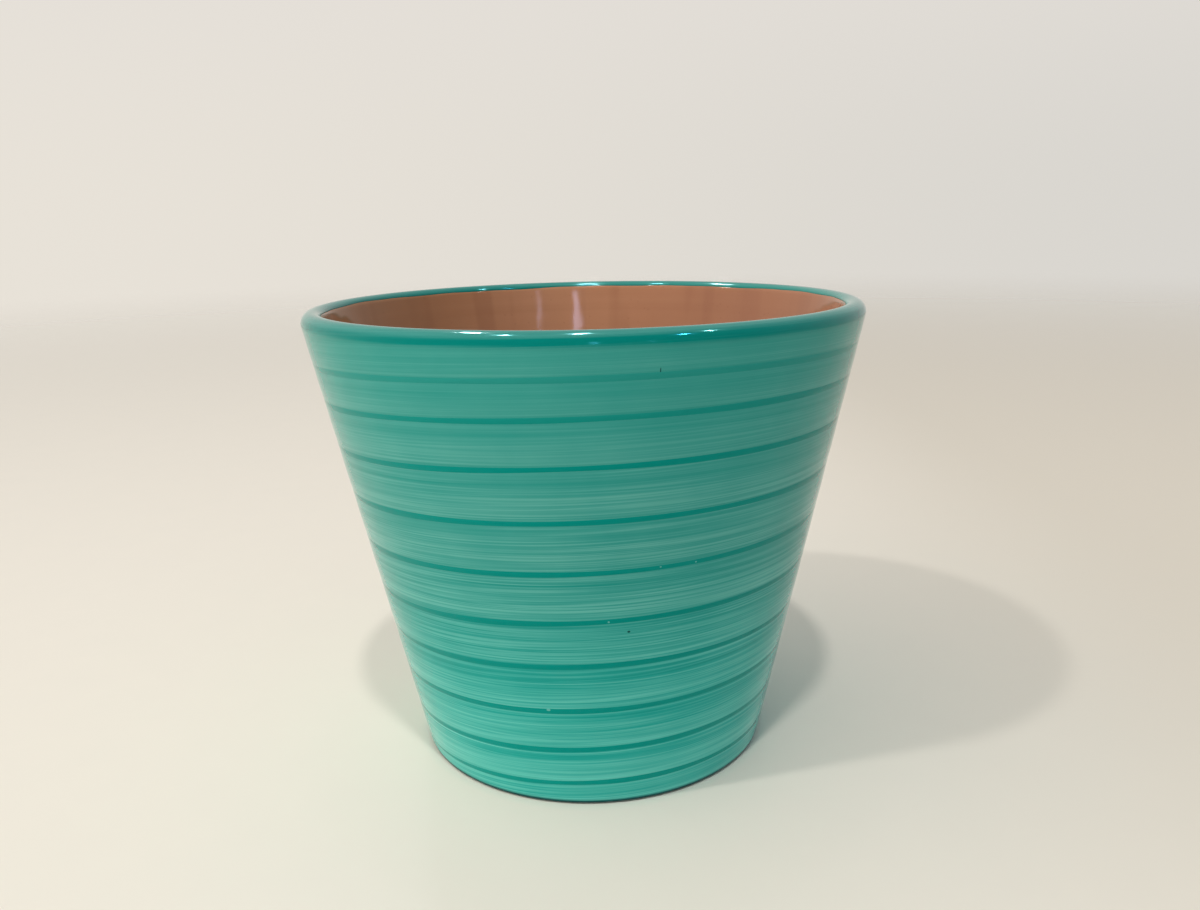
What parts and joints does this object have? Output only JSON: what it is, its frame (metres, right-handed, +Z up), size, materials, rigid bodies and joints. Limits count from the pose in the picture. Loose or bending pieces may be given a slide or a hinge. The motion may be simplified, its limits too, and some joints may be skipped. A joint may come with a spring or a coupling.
{
  "type": "cachepot",
  "caption": "Tapered round cachepot of red earthenware, glazed turquoise outside with a darker line winding up the wall, clear-glazed inside, to hold a nursery pot.",
  "frame": {"origin": "middle of the foot, in the plane the pot stands on", "axes": "+Z up along the pot's axis, -Y towards the side that the picture shows"},
  "size_m": [0.15, 0.15, 0.124],
  "materials": {
    "red_clay": "bare fired clay, matt",
    "turquoise_glaze": "gloss, brushed",
    "deep_turquoise_glaze": "gloss",
    "clear_glaze": "gloss"
  },
  "bodies": {
    "root": {"clay_body": "red_clay", "outer_glaze": "turquoise_glaze", "spiral_line": "deep_turquoise_glaze", "inner_glaze": "clear_glaze"}
  },
  "joints": []
}
